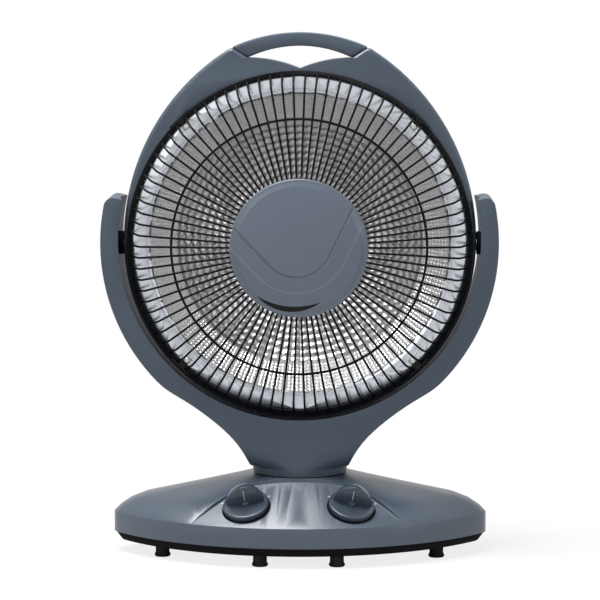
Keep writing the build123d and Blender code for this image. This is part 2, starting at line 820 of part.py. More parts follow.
# Tilt pivots: a pin in each arm, a bush in each side of the head and a black friction washer between
bush_out = tilt_pin_radius + running_clearance + tilt_bush_wall
for side, side_name in ((-1, "left"), (1, "right")):
    with BuildPart() as tilt_pin:
        with BuildSketch(pin_plane.offset(side * (arm_out_x - yoke_wall))):
            Circle(tilt_pin_radius)
        extrude(amount=-side * (arm_out_x - yoke_wall - head_radius + tilt_pin_reach))
    save(tilt_pin.part, f"tilt_pin_{side_name}")
    with BuildPart() as tilt_washer:
        with BuildSketch(pin_plane.offset(side * (head_radius + 0.5))):
            Circle(tilt_washer_radius)
            Circle(tilt_pin_radius, mode=Mode.SUBTRACT)
        extrude(amount=side * (arm_in_x - head_radius + 3))
        with Locations((0, 0, yoke_sphere_z)):
            Sphere(yoke_sphere_radius, mode=Mode.INTERSECT)
    save(tilt_washer.part, f"tilt_washer_{side_name}")
    with BuildPart() as tilt_bush:
        with BuildSketch(pin_plane.offset(side * (head_radius - tilt_pin_reach - 2))):
            Circle(bush_out)
        extrude(amount=side * (tilt_pin_reach + 1.7))
        with BuildSketch(pin_plane.offset(side * (head_radius - tilt_pin_reach - 0.5))):
            Circle(tilt_pin_radius + running_clearance)
        extrude(amount=side * (tilt_pin_reach + 1), mode=Mode.SUBTRACT)
    save(tilt_bush.part, f"tilt_bush_{side_name}")


# Head housing: a round case with a pointed-arch fairing that rises to two shoulders
def head_outline():
    """Right half of the head's outline about the pivot, from the bottom to the middle of the top."""
    low = head_radius
    turn = radians(flank_start)
    start = (low * cos(turn), low * sin(turn))
    with BuildLine() as half:
        ThreePointArc((0, -low), (low * sin(radians(45)), -low * cos(radians(45))), start)
        TangentArc(start, (shoulder_x, shoulder_z), tangent=(-sin(turn), cos(turn)))
        Line((shoulder_x, shoulder_z), (gap_half_width, gap_corner_z))
        RadiusArc((gap_half_width, gap_corner_z), (0, gap_sill_z), -gap_sill_radius)
        Line((0, gap_sill_z), (0, -low))
    return half.line


def head_face(inset):
    """The head's outline as a face in the open sketch, drawn in by inset."""
    add(head_outline())
    make_face()
    mirror(about=Plane.YZ)
    fillet(vertices().group_by(Axis.Y)[-1], shoulder_round)
    if inset:
        offset(amount=-inset, mode=Mode.REPLACE)


boss_reach = dish_opening + 3.3
head_boss_places = [
    (boss_reach * cos(radians(turn)), boss_reach * sin(radians(turn))) for turn in clip_turns
]

rear_screw_places = [(reach * cos(radians(turn)), reach * sin(radians(turn))) for reach, turn in rear_screw_polar]

with BuildPart() as front_housing:
    with BuildSketch(facing(parting_y)):
        head_face(0)
    extrude(amount=parting_y - head_front_y)
    rim = front_housing.faces().sort_by(Axis.Y)[0].outer_wire().edges()
    rim = [edge for edge in rim if edge.center().Z < pivot_height + 120]
    fillet(rim, head_edge_round)
    with BuildSketch(facing(parting_y)):
        head_face(head_wall)
    extrude(amount=parting_y - head_front_y - head_wall, mode=Mode.SUBTRACT)
    with BuildSketch(facing(head_front_y)):
        Circle(dish_opening)
    extrude(amount=-2 * head_wall, mode=Mode.SUBTRACT)
    with BuildSketch(facing(head_front_y + housing_boss_length)):
        with Locations(*head_boss_places):
            Circle(head_boss_radius)
    extrude(amount=housing_boss_length)
    with BuildPart(mode=Mode.PRIVATE) as side_bosses:
        with BuildSketch(pin_plane):
            Circle(bush_out + 2)
        extrude(amount=head_radius - 0.5, both=True)
        with BuildSketch(pin_plane):
            Circle(bush_out + 3)
        extrude(amount=head_radius - tilt_pin_reach - 3, both=True, mode=Mode.SUBTRACT)
    add(side_bosses.part)
    with BuildSketch(pin_plane.offset(-head_radius - 1)):
        Circle(bush_out)
    extrude(amount=tilt_pin_reach + 3, mode=Mode.SUBTRACT)
    with BuildSketch(pin_plane.offset(head_radius + 1)):
        Circle(bush_out)
    extrude(amount=-tilt_pin_reach - 3, mode=Mode.SUBTRACT)
    with BuildSketch(facing(head_front_y)):
        with Locations(*head_boss_places):
            Circle(clip_screw_radius)
    extrude(amount=-8, mode=Mode.SUBTRACT)
    with BuildSketch(facing(parting_y)):
        with Locations(*rear_screw_places):
            Circle(head_boss_radius)
            Circle(yoke_screw_radius, mode=Mode.SUBTRACT)
    extrude(amount=housing_boss_length)
save(front_housing.part, "front_housing")


# Rear cover: a shallow bowl that closes the head, vented behind the element
def rear_form(inset):
    """The rear cover's closed form, or its cavity when it is drawn in by the wall."""
    depth = head_back_y - parting_y - inset
    with BuildPart() as form:
        for back, share in rear_levels:
            with BuildSketch(facing(parting_y + back * depth)):
                head_face(0)
                scale(by=share - inset / head_radius)
        loft(ruled=True)
    return form.part


with BuildPart() as rear_cover:
    add(rear_form(0))
    add(rear_form(head_wall), mode=Mode.SUBTRACT)
    with BuildPart(mode=Mode.PRIVATE) as rear_bosses:
        with BuildSketch(facing(parting_y)):
            with Locations(*rear_screw_places):
                Circle(head_boss_radius)
        extrude(amount=-rear_boss_length)
        add(rear_form(0), mode=Mode.INTERSECT)
    add(rear_bosses.part)
    with BuildSketch(facing(parting_y)):
        with Locations(*rear_screw_places):
            Circle(yoke_screw_radius)
    extrude(amount=-rear_screw_seat, mode=Mode.SUBTRACT)
    with BuildSketch(facing(parting_y + rear_screw_seat)):
        with Locations(*rear_screw_places):
            Circle(yoke_screw_head)
    extrude(amount=-20, mode=Mode.SUBTRACT)
    with BuildSketch(facing(head_back_y + 1)):
        for reach, count, length in vent_rings:
            with PolarLocations(reach, count):
                SlotOverall(length, vent_width)
    extrude(amount=vent_depth, mode=Mode.SUBTRACT)
save(rear_cover.part, "rear_cover")

# Screws that hold the rear cover to the front housing
with BuildPart() as rear_screws:
    with BuildSketch(facing(parting_y + rear_screw_seat)):
        with Locations(*rear_screw_places):
            Circle(yoke_screw_head - 0.1)
    extrude(amount=-2)
    with BuildSketch(facing(parting_y + rear_screw_seat)):
        with Locations(*rear_screw_places):
            Circle(yoke_screw_radius)
    extrude(amount=rear_screw_seat + 11)
save(rear_screws.part, "rear_screws")

# Carrying handle: an arched bar between the shoulders
bar_low = handle_top_z - handle_bar
with BuildPart() as handle:
    with BuildSketch(facing(handle_back_y)):
        with BuildLine():
            ThreePointArc(
                (-shoulder_x, shoulder_z), (0, handle_top_z), (shoulder_x, shoulder_z)
            )
            Line((shoulder_x, shoulder_z), (gap_half_width, gap_corner_z))
            ThreePointArc((gap_half_width, gap_corner_z), (0, bar_low), (-gap_half_width, gap_corner_z))
            Line((-gap_half_width, gap_corner_z), (-shoulder_x, shoulder_z))
        make_face()
    extrude(amount=handle_back_y - handle_front_y)
    add(front_housing.part, mode=Mode.SUBTRACT)
    add(rear_cover.part, mode=Mode.SUBTRACT)
save(handle.part, "handle")

# Reflector: one spun sheet, a flat bright flange and a parabolic bowl
flange_y = head_front_y - sheet
bowl_focus = (flange_inner**2 - dish_throat**2) / (4 * dish_depth)


def bowl_y(radius):
    """Depth of the bowl's bright face at a radius."""
    return flange_y + (flange_inner**2 - radius**2) / (4 * bowl_focus)


throat_y = bowl_y(dish_throat)
with BuildPart() as reflector:
    with BuildSketch(dish_section):
        with BuildLine():
            middle_r = (dish_throat + flange_inner) / 2
            middle_y = throat_y - dish_throat / (2 * bowl_focus) * (middle_r - dish_throat)
            Bezier((dish_throat, throat_y), (middle_r, middle_y), (flange_inner, flange_y))
            Line((flange_inner, flange_y), (flange_outer, flange_y))
            Line((flange_outer, flange_y), (flange_outer, flange_y + sheet))
            Line((flange_outer, flange_y + sheet), (flange_inner, flange_y + sheet))
            Bezier(
                (flange_inner, flange_y + sheet),
                (middle_r, middle_y + sheet),
                (dish_throat, throat_y + sheet),
            )
            Line((dish_throat, throat_y + sheet), (dish_throat, throat_y))
        make_face()
    revolve(axis=dish_axis)
    with BuildSketch(facing(flange_y + sheet)):
        with Locations(*head_boss_places):
            Circle(clip_screw_radius)
    extrude(amount=2 * sheet, mode=Mode.SUBTRACT)
save(reflector.part, "reflector")

# Heat shield: a cone of thin sheet between the bowl and the rear cover
with BuildPart() as heat_shield:
    with BuildSketch(dish_section):
        with BuildLine():
            inner_y = bowl_y(socket_radius) + shield_gap
            outer_y = bowl_y(shield_outer) + shield_gap
            Polyline(
                (socket_radius, inner_y),
                (shield_outer, outer_y),
                (shield_outer, outer_y + sheet),
                (socket_radius, inner_y + sheet),
                close=True,
            )
        make_face()
    revolve(axis=dish_axis)
save(heat_shield.part, "heat_shield")

# Wire guard: an outer band on the flange, bent radial wires, a ring across them and a plate at the hub
ring_front_y = flange_y - ring_depth
with BuildPart() as guard_outer_ring:
    with BuildSketch(facing(flange_y)):
        Circle(ring_outer)
        Circle(ring_inner, mode=Mode.SUBTRACT)
    extrude(amount=ring_depth)
    fillet(guard_outer_ring.edges().group_by(Axis.Y)[0], 0.8)
save(guard_outer_ring.part, "guard_outer_ring")

ring_middle = (ring_inner + ring_outer) / 2
wire_start = -flange_y + ring_depth / 2
bend_at = -flange_y + bend_forward
hub_at = -flange_y + hub_forward
with BuildPart() as one_wire:
    with BuildLine() as wire_path:
        FilletPolyline(
            (ring_middle, 0, wire_start),
            (bend_radius_at, 0, bend_at),
            (wire_inner_end, 0, hub_at),
            radius=bend_round,
        )
    with BuildSketch(Plane(origin=wire_path.line @ 0, z_dir=wire_path.line % 0)):
        Circle(wire_radius)
    sweep(path=wire_path.line)
with BuildPart(dish_front) as guard_wires:
    with PolarLocations(0, wire_count):
        add(one_wire.part, clean=False)
save(guard_wires.part, "guard_wires")



def wire_forward(radius):
    """How far forward of the pivot the straight inner part of a wire is at a radius."""
    return bend_at + (bend_radius_at - radius) * (hub_at - bend_at) / (bend_radius_at - wire_inner_end)


middle_ring_y = -(wire_forward(middle_ring_at) - wire_radius - middle_ring_wire + weld_depth)
with BuildPart() as guard_middle_ring:
    with BuildSketch(dish_section):
        with Locations((middle_ring_at, middle_ring_y)):
            Circle(middle_ring_wire)
    revolve(axis=dish_axis)
save(guard_middle_ring.part, "guard_middle_ring")

hub_plate_y = -(wire_forward(hub_plate_radius) - wire_radius + weld_depth)
hub_screw_places = [
    (hub_screw_reach * cos(radians(turn)), hub_screw_reach * sin(radians(turn))) for turn in (90, 210, 330)
]
with BuildPart() as guard_hub_plate:
    with BuildSketch(facing(hub_plate_y)):
        Circle(hub_plate_radius)
        with Locations(*hub_screw_places):
            Circle(hub_screw_radius, mode=Mode.SUBTRACT)
    extrude(amount=-sheet)
save(guard_hub_plate.part, "guard_hub_plate")

# Centre cap: a shallow lid over the ends of the wires, with three posts that reach the hub plate
cap_back_y = -(wire_forward(cap_radius - cap_rim_width) + wire_radius)
cap_rim_y = cap_back_y - cap_rim
cap_floor_y = cap_rim_y + cap_wall
with BuildPart() as centre_cap:
    with BuildSketch(dish_section):
        with BuildLine():
            Line((0, cap_back_y), (cap_radius, cap_back_y))
            Line((cap_radius, cap_back_y), (cap_radius, cap_rim_y + 1.5))
            ThreePointArc(
                (cap_radius, cap_rim_y + 1.5),
                (cap_radius - 0.6, cap_rim_y + 0.4),
                (cap_radius - 2, cap_rim_y),
            )
            TangentArc((0, cap_rim_y - cap_crown), (cap_radius - 2, cap_rim_y), tangent=(1, 0))
            Line((0, cap_rim_y - cap_crown), (0, cap_back_y))
        make_face()
    revolve(axis=dish_axis)
    with BuildSketch(facing(cap_back_y)):
        Circle(cap_radius - cap_rim_width)
    extrude(amount=cap_rim - cap_wall, mode=Mode.SUBTRACT)
    with BuildSketch(facing(hub_plate_y)):
        with Locations(*hub_screw_places):
            Circle(cap_post_radius)
    extrude(amount=hub_plate_y - cap_floor_y)
    with BuildSketch(facing(hub_plate_y)):
        with Locations(*hub_screw_places):
            Circle(hub_screw_radius)
    extrude(amount=hub_screw_length, mode=Mode.SUBTRACT)
save(centre_cap.part, "centre_cap")

# Screws that draw the hub plate up to the cap
with BuildPart() as hub_screws:
    with BuildSketch(facing(hub_plate_y + sheet)):
        with Locations(*hub_screw_places):
            Circle(2 * hub_screw_radius)
    extrude(amount=-1.6)
    with BuildSketch(facing(hub_plate_y + sheet)):
        with Locations(*hub_screw_places):
            Circle(hub_screw_radius)
    extrude(amount=hub_screw_length)
save(hub_screws.part, "hub_screws")

# Guard clips: four zinc tees screwed to the flange, their arms over the outer ring between the wires
clip_foot = ring_inner - 0.2
with BuildPart() as one_clip:
    with BuildSketch(Plane.XY.offset(-flange_y)):
        with Locations((clip_foot, 0)):
            Rectangle(clip_foot - dish_opening - 0.5, clip_stem, align=(Align.MAX, Align.CENTER))
        with Locations((boss_reach, 0)):
            Circle(clip_screw_radius, mode=Mode.SUBTRACT)
    extrude(amount=sheet)
    with BuildSketch(Plane.XY.offset(-flange_y)):
        with Locations((clip_foot, 0)):
            Rectangle(sheet, clip_stem, align=(Align.MAX, Align.CENTER))
    extrude(amount=ring_depth + sheet)
    with BuildSketch(Plane.XY.offset(-ring_front_y)):
        with Locations((clip_foot - sheet, 0)):
            Rectangle(ring_outer + 1 - clip_foot + sheet, clip_stem, align=(Align.MIN, Align.CENTER))
        with Locations((ring_outer + 1, 0)):
            Rectangle(2.5, clip_arm, align=(Align.MAX, Align.CENTER))
    extrude(amount=sheet)
with BuildPart(dish_front) as guard_clips:
    for turn in clip_turns:
        with PolarLocations(0, 1, start_angle=turn):
            add(one_clip.part)
save(guard_clips.part, "guard_clips")

with BuildPart() as clip_screws:
    with BuildSketch(facing(flange_y - sheet)):
        with Locations(*head_boss_places):
            Circle(clip_screw_head)
    extrude(amount=1.8)
    fillet(clip_screws.edges().group_by(Axis.Y)[0], 0.8)
    with BuildSketch(facing(flange_y - sheet)):
        with Locations(*head_boss_places):
            Circle(clip_screw_radius)
    extrude(amount=-8)
save(clip_screws.part, "clip_screws")

# Heating element: a ceramic core on the dish's axis, its wound coil, and the socket behind the bowl
core_back = throat_y
with BuildPart() as element_core:
    with BuildSketch(facing(core_back)):
        Circle(dish_throat)
    extrude(amount=-3)
    with BuildSketch(facing(core_back)):
        Circle(core_flange_radius - 1)
    extrude(amount=5)
    with BuildSketch(facing(core_back)):
        Circle(core_radius)
    extrude(amount=core_back + core_front)
    fillet(element_core.edges().group_by(Axis.Y)[0], 3)
save(element_core.part, "element_core")

coil_radius = core_radius + coil_wire + coil_gap
coil_start = -(core_front - 7)


def coil_point(turns):
    """Centre of the wound wire after a number of turns."""
    turn = 2 * pi * turns
    return Vector(
        coil_radius * cos(turn), coil_start + coil_pitch * turns, pivot_height + coil_radius * sin(turn)
    )


def coil_heading(turns):
    """Direction of the wound wire after a number of turns."""
    turn = 2 * pi * turns
    rise = coil_pitch / (2 * pi)
    return Vector(-coil_radius * sin(turn), rise, coil_radius * cos(turn)).normalized()


quarters = 4 * coil_turns
with BuildPart() as heating_coil:
    with BuildLine() as coil_path:
        for quarter in range(quarters):
            start = coil_point(quarter / 4)
            end = coil_point((quarter + 1) / 4)
            heading = coil_heading(quarter / 4)
            leaving = coil_heading((quarter + 1) / 4)
            span = end - start
            square = 2 * (1 - heading.dot(leaving))
            along = span.dot(heading + leaving)
            reach = (-along + sqrt(along**2 + square * span.dot(span))) / square
            joint = (start + heading * reach + end - leaving * reach) / 2
            first = TangentArc(start, joint, tangent=heading)
            TangentArc(joint, end, tangent=first % 1)
    with BuildSketch(Plane(origin=coil_point(0), z_dir=coil_heading(0))):
        Circle(coil_wire)
    sweep(path=coil_path.line)
save(heating_coil.part, "heating_coil")
coil_samples = [coil_point(step / 48) for step in range(48 * coil_turns + 1)]
coil_self_gap = min(
    (coil_samples[i] - coil_samples[j]).length - 2 * coil_wire
    for i in range(len(coil_samples))
    for j in range(i + 24, len(coil_samples))
)
print("coil self gap", round(coil_self_gap, 2), "mm over", coil_turns, "turns")

socket_y = core_back + 3
with BuildPart() as element_socket:
    with BuildSketch(facing(socket_y)):
        Circle(socket_radius)
    extrude(amount=-(head_back_y - head_wall - socket_y))
save(element_socket.part, "element_socket")

# Terminals of the element, and the thermal cut-out on the rear cover
with BuildPart() as element_terminals:
    with BuildSketch(facing(socket_y + terminal_back)):
        with Locations((0, socket_radius + tab_length / 3), (0, -socket_radius - tab_length / 3)):
            Rectangle(tab_width, tab_length)
    extrude(amount=tab_thickness)
    add(element_socket.part, mode=Mode.SUBTRACT)
save(element_terminals.part, "element_terminals")

with BuildPart() as thermal_cutout:
    with BuildSketch(facing(head_back_y - head_wall)):
        with Locations((cutout_x, 0)):
            Circle(cutout_radius)
    extrude(amount=cutout_height)
    with BuildSketch(facing(head_back_y - head_wall)):
        with Locations((cutout_x, 0)):
            Rectangle(cutout_height, cutout_strap)
    extrude(amount=sheet)
save(thermal_cutout.part, "thermal_cutout")
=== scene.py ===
import json
from math import cos, pi, radians, sin

import bpy
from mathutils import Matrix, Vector


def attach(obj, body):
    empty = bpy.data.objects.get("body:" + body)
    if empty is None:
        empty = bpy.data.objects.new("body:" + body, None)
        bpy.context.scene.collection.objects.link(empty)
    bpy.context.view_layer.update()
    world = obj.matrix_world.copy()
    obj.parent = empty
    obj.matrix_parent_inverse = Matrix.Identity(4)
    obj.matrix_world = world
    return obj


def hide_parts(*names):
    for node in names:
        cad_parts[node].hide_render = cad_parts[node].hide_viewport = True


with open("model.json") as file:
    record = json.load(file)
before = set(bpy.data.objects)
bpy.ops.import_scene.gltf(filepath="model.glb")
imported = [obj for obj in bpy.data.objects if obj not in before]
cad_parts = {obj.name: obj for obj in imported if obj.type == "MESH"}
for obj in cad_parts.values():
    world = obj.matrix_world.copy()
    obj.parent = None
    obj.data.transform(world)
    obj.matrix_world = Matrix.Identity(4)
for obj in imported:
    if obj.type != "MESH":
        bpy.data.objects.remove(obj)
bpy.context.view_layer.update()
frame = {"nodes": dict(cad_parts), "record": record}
bpy.ops.object.select_all(action="DESELECT")

# The photograph's view: a long lens three metres off, a little to the right of the middle
# and about six degrees above the dish, so that the base shows some of its top.
eye = Vector((0.049, -2.8, 0.518))
aim = Vector((0.0, 0.0, 0.228))
bpy.ops.object.camera_add(location=eye, rotation=(aim - eye).to_track_quat("-Z", "Y").to_euler())
camera = bpy.context.active_object
sensor_width = 36.0
focal_pixels = 3122
frame_pixels = 600
camera.data.sensor_width = sensor_width
camera.data.lens = sensor_width * focal_pixels / frame_pixels
camera.data.clip_end = 200.0
bpy.context.scene.camera = camera
bpy.context.scene.view_settings.view_transform = "Standard"


# Every finish in this file is built from these two classes. Signal is one output of a node,
# with arithmetic that adds Math nodes. Finish is a material whose pattern is placed in metres.
class Signal:
    """One output in a finish's node tree."""

    def __init__(self, finish, socket, node):
        self.finish = finish
        self.socket = socket
        self.node = node

    def out(self, name):
        """Another output of the same node."""
        return Signal(self.finish, self.node.outputs[name], self.node)

    def math(self, operation, *others):
        """Puts this signal and the others through a Math node."""
        values = {place: value for place, value in enumerate((self, *others))}
        return self.finish.add("ShaderNodeMath", {"operation": operation}, values)

    def __add__(self, other):
        return self.math("ADD", other)

    __radd__ = __add__

    def __sub__(self, other):
        return self.math("SUBTRACT", other)

    def __rsub__(self, other):
        return self * -1.0 + other

    def __mul__(self, other):
        return self.math("MULTIPLY", other)

    __rmul__ = __mul__

    def __truediv__(self, other):
        return self.math("DIVIDE", other)

    def __gt__(self, other):
        return self.math("GREATER_THAN", other)

    def __lt__(self, other):
        return self.math("LESS_THAN", other)

    def magnitude(self):
        """The signal without its sign."""
        return self.math("ABSOLUTE")

    def clamped(self):
        """The signal held between 0 and 1."""
        return self.math("MAXIMUM", 0.0).math("MINIMUM", 1.0)


class Finish:
    """A material under construction."""

    def __init__(self, name):
        self.material = bpy.data.materials.new(name)
        self.material.use_nodes = True
        self.tree = self.material.node_tree
        self.tree.nodes.clear()
        self.place = self.add("ShaderNodeTexCoord", output="Object")

    def add(self, kind, settings=None, sockets=None, output=0):
        """Adds a node, makes its settings, then gives its sockets their values or links."""
        node = self.tree.nodes.new(kind)
        for key, value in (settings or {}).items():
            setattr(node, key, value)
        for key, value in (sockets or {}).items():
            if isinstance(value, Signal):
                self.tree.links.new(value.socket, node.inputs[key])
            else:
                node.inputs[key].default_value = value
        return Signal(self, node.outputs[output] if node.outputs else None, node)

    def axes(self):
        """The place on the piece as its three coordinates."""
        parts = self.add("ShaderNodeSeparateXYZ", sockets={"Vector": self.place})
        return parts.out("X"), parts.out("Y"), parts.out("Z")

    def noise(self, scale, detail=2.0, vector=None):
        """A cloudy signal between 0 and 1, with scale in cells a metre."""
        sockets = {"Vector": vector or self.place, "Scale": scale, "Detail": detail}
        return self.add("ShaderNodeTexNoise", sockets=sockets, output="Fac")

    def mix(self, factor, first, second):
        """A colour between two colours."""
        return self.add("ShaderNodeMix", {"data_type": "RGBA"}, {0: factor, 6: first, 7: second}, output=2)

    def bump(self, height, distance, strength=1.0):
        """A normal from a height between 0 and 1 that stands for a distance in metres."""
        sockets = {"Height": height, "Distance": distance, "Strength": strength}
        return self.add("ShaderNodeBump", sockets=sockets, output="Normal")

    def surface(self, sockets):
        """Ends the finish in one shader."""
        shader = self.add("ShaderNodeBsdfPrincipled", sockets=sockets, output="BSDF")
        self.add("ShaderNodeOutputMaterial", sockets={"Surface": shader})
        return self


def shade(colour, share):
    """A colour made lighter or darker by a share, with full alpha."""
    return tuple(min(1.0, part * share) for part in colour) + (1.0,)


# The studio: a pale floor without an edge in view, a broad soft light above, a weaker one
# in front to the left and a low fill from the right. The eye, mirrors and glass see both the
# ground and the room as white, but for the heater's shadow near it.
bpy.ops.mesh.primitive_plane_add(size=160.0, location=(0.0, 0.0, 0.0))
floor = bpy.context.active_object
floor.name = "studio_floor"
ground = Finish("studio ground")
seen = ground.add("ShaderNodeLightPath", output="Is Camera Ray")
seen = (seen + seen.out("Is Glossy Ray") + seen.out("Is Transmission Ray")).clamped()
x, y, _ = ground.axes()
near_share = 0.82
away = (((x * x + y * y).math("SQRT") - 0.3) / 0.5).clamped()
matte = ground.add("ShaderNodeBsdfDiffuse", sockets={"Color": (0.66, 0.66, 0.67, 1.0)})
white = ground.add("ShaderNodeEmission", sockets={"Color": (1.0, 1.0, 1.0, 1.0), "Strength": 1.0})
white_share = away * (1.0 - near_share) + near_share
both = ground.add("ShaderNodeMixShader", sockets={0: seen * white_share, 1: matte, 2: white})
ground.add("ShaderNodeOutputMaterial", sockets={"Surface": both})
floor.data.materials.append(ground.material)

room = bpy.data.worlds.new("studio room")
room.use_nodes = True
bpy.context.scene.world = room
rays = room.node_tree.nodes.new("ShaderNodeLightPath")
level = rays.outputs["Is Camera Ray"]
room_light = 0.3
for operation, other in (
    ("MAXIMUM", rays.outputs["Is Glossy Ray"]),
    ("MAXIMUM", rays.outputs["Is Transmission Ray"]),
    ("MULTIPLY", 1.0 - room_light),
    ("ADD", room_light),
):
    step = room.node_tree.nodes.new("ShaderNodeMath")
    step.operation = operation
    room.node_tree.links.new(level, step.inputs[0])
    if isinstance(other, float):
        step.inputs[1].default_value = other
    else:
        room.node_tree.links.new(other, step.inputs[1])
    level = step.outputs[0]
sky = room.node_tree.nodes["Background"]
sky.inputs["Color"].default_value = (1.0, 1.0, 1.0, 1.0)
room.node_tree.links.new(level, sky.inputs["Strength"])

for name, place, width, power in (
    ("light_above", (-0.5, -0.25, 2.3), 1.3, 105.0),
    ("light_front", (-1.5, -2.2, 1.5), 1.4, 15.0),
    ("light_right", (2.0, -1.2, 0.8), 1.0, 8.0),
):
    turn = (Vector((0.0, 0.0, 0.25)) - Vector(place)).to_track_quat("-Z", "Y").to_euler()
    bpy.ops.object.light_add(type="AREA", location=place, rotation=turn)
    lamp = bpy.context.active_object
    lamp.name = name
    lamp.data.size = width
    lamp.data.energy = power


# Finishes of the bought and hidden parts, and of all that keeps its CAD shape: moulded
# plastics, black enamel on wire, zinc plate, spun aluminium, glazed ceramic and rubber.
def moulded_plastic(name, colour, roughness, grain=0.00003, shine=0.35):
    """Plastic with a fine spark-eroded grain, cloudy gloss and a faint unevenness of colour."""
    finish = Finish(name)
    cloud = finish.noise(14.0, 3.0)
    pits = finish.noise(1500.0)
    return finish.surface({
        "Base Color": finish.mix(cloud, shade(colour, 0.9), shade(colour, 1.1)),
        "Roughness": cloud * 0.14 + (roughness - 0.07),
        "Specular IOR Level": shine,
        "Normal": finish.bump(pits, grain, 0.7),
    })


def plated_metal(name, colour, roughness, streak=60.0):
    """Plated or oxidised metal with drawn streaks and small stains."""
    finish = Finish(name)
    stretched = finish.add(
        "ShaderNodeMapping", sockets={"Vector": finish.place, "Scale": (1.0, 1.0, 8.0)}, output="Vector"
    )
    streaks = finish.noise(streak * 12.0, 3.0, stretched)
    stains = finish.noise(streak, 4.0)
    return finish.surface({
        "Base Color": finish.mix(stains, shade(colour, 0.82), shade(colour, 1.06)),
        "Metallic": 1.0,
        "Roughness": streaks * 0.16 + (roughness - 0.06),
        "Normal": finish.bump(streaks, 0.00002, 0.5),
    })


def enamelled_wire(name, colour):
    """Black stove enamel, thick enough to be slightly uneven."""
    finish = Finish(name)
    drips = finish.noise(260.0, 3.0)
    return finish.surface({
        "Base Color": finish.mix(drips, shade(colour, 0.7), shade(colour, 1.5)),
        "Roughness": drips * 0.2 + 0.5,
        "Specular IOR Level": 0.08,
        "Normal": finish.bump(drips, 0.00005, 0.6),
    })


def glazed_ceramic(name, colour):
    """Cream ceramic with specks under a thin glaze."""
    finish = Finish(name)
    specks = (finish.noise(900.0, 1.0) > 0.66).clamped()
    pits = finish.noise(300.0, 3.0)
    return finish.surface({
        "Base Color": finish.mix(specks, shade(colour, 1.0), shade(colour, 0.72)),
        "Roughness": pits * 0.3 + 0.18,
        "Normal": finish.bump(pits, 0.00008, 0.6),
    })


def dull_rubber(name, colour):
    """Rubber with a bloom of dust on it."""
    finish = Finish(name)
    bloom = finish.noise(120.0, 4.0)
    return finish.surface({
        "Base Color": finish.mix(bloom, shade(colour, 0.8), shade(colour, 1.8)),
        "Roughness": bloom * 0.1 + 0.88,
        "Specular IOR Level": 0.05,
        "Normal": finish.bump(finish.noise(900.0), 0.00006, 0.7),
    })


slate = (0.041, 0.059, 0.083)
black = (0.004, 0.004, 0.005)
finishes = {
    "housing_plastic": moulded_plastic("slate moulding", slate, 0.32, shine=0.5),
    "base_plastic": moulded_plastic("slate base moulding", slate, 0.38),
    "black_plastic": moulded_plastic("black moulding", black, 0.8, shine=0.05),
    "knob_plastic": moulded_plastic("slate knob moulding", shade(slate, 0.65)[:3], 0.22, shine=0.5),
    "switch_plastic": moulded_plastic("dark switch moulding", (0.02, 0.021, 0.024), 0.42),
    "gear_plastic": moulded_plastic("natural gear moulding", (0.68, 0.66, 0.6), 0.4),
    "bush_plastic": moulded_plastic("natural bush moulding", (0.62, 0.6, 0.53), 0.42),
    "rubber": dull_rubber("foot rubber", (0.014, 0.014, 0.015)),
    "guard_enamel": enamelled_wire("black wire enamel", black),
    "bright_aluminium": plated_metal("plain aluminium", (0.75, 0.75, 0.77), 0.3),
    "plated_steel": plated_metal("plated steel", (0.55, 0.56, 0.58), 0.36),
    "zinc_clip": plated_metal("bright zinc", (0.66, 0.66, 0.64), 0.3, 120.0),
    "resistance_wire": plated_metal("oxidised heating wire", (0.2, 0.18, 0.17), 0.5, 200.0),
    "ceramic": glazed_ceramic("glazed ceramic", (0.78, 0.75, 0.68)),
}
for subpart in frame["record"]["subparts"]:
    for slot in frame["nodes"][subpart["node"]].material_slots:
        slot.material = finishes[subpart["material_slot"]].material


# Base cover, one slate moulding: upright wall, crowned top, flat deck under the neck and a
# sloping control panel in front. Its edges are rounded, and printed ticks ring the two knobs.
def select_only(piece):
    """Makes a piece the only one that an operator acts on."""
    bpy.ops.object.select_all(action="DESELECT")
    piece.select_set(True)
    bpy.context.view_layer.objects.active = piece


merge_gap = 0.00002
flat_angle = radians(0.6)


def moulded_copy(node, name, body, slot, edge_round, finish=None, crease=34.0):
    """Copies a CAD piece, merges its facets, rounds its edges and lets the copy stand for it."""
    piece = bpy.data.objects.new(name, frame["nodes"][node].data.copy())
    bpy.context.scene.collection.objects.link(piece)
    select_only(piece)
    bpy.ops.mesh.customdata_custom_splitnormals_clear()
    bpy.ops.object.mode_set(mode="EDIT")
    bpy.ops.mesh.select_all(action="SELECT")
    bpy.ops.mesh.remove_doubles(threshold=merge_gap)
    bpy.ops.mesh.dissolve_limited(angle_limit=flat_angle)
    bpy.ops.object.mode_set(mode="OBJECT")
    rounding = piece.modifiers.new("rounded edges", "BEVEL")
    rounding.width = edge_round
    rounding.segments = 2
    rounding.limit_method = "ANGLE"
    rounding.angle_limit = radians(crease)
    bpy.ops.object.modifier_apply(modifier=rounding.name)
    bpy.ops.object.shade_smooth_by_angle(angle=radians(crease))
    piece.data.materials.clear()
    piece.data.materials.append((finish or finishes[slot]).material)
    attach(piece, body)
    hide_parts(node)
    return piece


joints = {joint["name"]: joint for joint in frame["record"]["behaviour"]["joints"]}


class KnobPlace:
    """A knob's centre on the panel, its axis, and the panel's directions across and uphill."""

    def __init__(self, joint):
        self.centre = Vector(joints[joint]["pos_m"])
        self.axis = Vector(joints[joint]["axis"]).normalized()
        self.across = Vector((1.0, 0.0, -self.axis.x / self.axis.z)).normalized()
        self.uphill = self.axis.cross(self.across)

    def point(self, turn, reach, lift=0.0):
        """A place around the knob, with the turn counted in degrees from the right hand side."""
        sag = 1.4 * (reach * cos(radians(turn))) ** 2
        side = self.across * cos(radians(turn)) + self.uphill * sin(radians(turn))
        return self.centre + side * reach + self.axis * (lift - sag)


